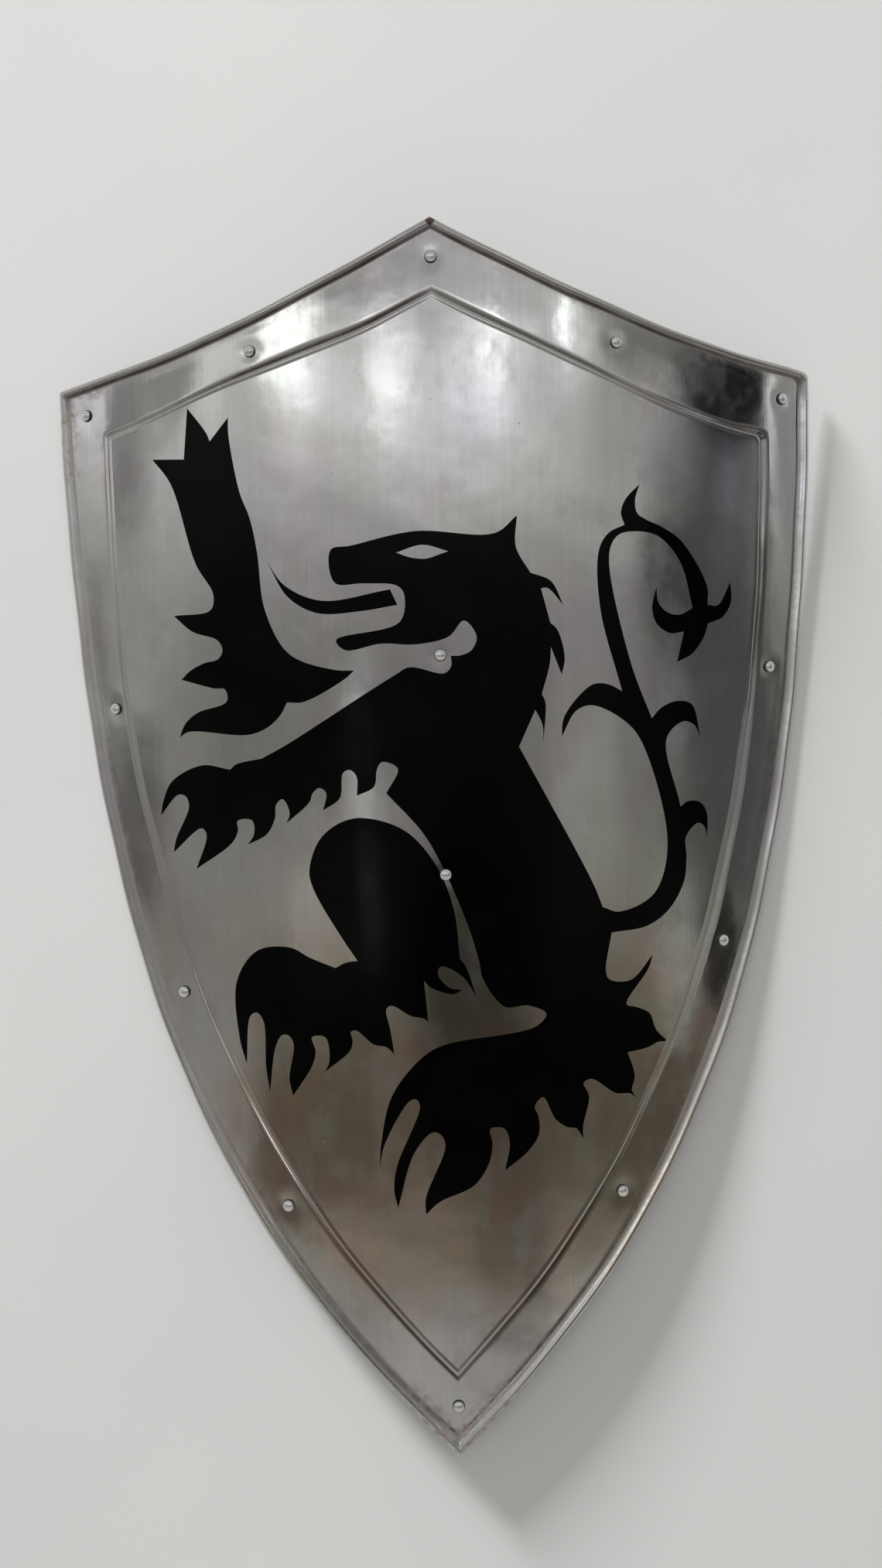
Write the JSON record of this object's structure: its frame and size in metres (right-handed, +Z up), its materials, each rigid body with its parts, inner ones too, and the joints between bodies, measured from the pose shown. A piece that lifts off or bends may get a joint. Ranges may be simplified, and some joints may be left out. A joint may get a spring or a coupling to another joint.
{
  "type": "knight shield",
  "caption": "Steel heater shield, bent round its long axis, with rolled rim, creased riveted border, black lion on the face and a strap grip behind.",
  "frame": {"origin": "middle of the bounding box on the floor that the shield lies on, face up", "axes": "+Z up, out of the face; +Y towards the apex; +X to the right as the face is read"},
  "size_m": [0.4624, 0.7088, 0.073],
  "materials": {
    "steel_sheet": "polished lengthways, clear, with a flat black enamel lion",
    "grip_steel": "plain, dull",
    "rivet_metal": "satin"
  },
  "bodies": {
    "root": {"shield_plate": "steel_sheet", "grip": "grip_steel", "grip_rivet_upper": "rivet_metal", "grip_rivet_lower": "rivet_metal", "border_rivet_apex": "rivet_metal", "border_rivet_tip": "rivet_metal", "border_rivet_left_corner": "rivet_metal", "border_rivet_left_top_1": "rivet_metal", "border_rivet_left_side_1": "rivet_metal", "border_rivet_left_side_2": "rivet_metal", "border_rivet_left_side_3": "rivet_metal", "border_rivet_right_corner": "rivet_metal", "border_rivet_right_top_1": "rivet_metal", "border_rivet_right_side_1": "rivet_metal", "border_rivet_right_side_2": "rivet_metal", "border_rivet_right_side_3": "rivet_metal"}
  },
  "joints": []
}
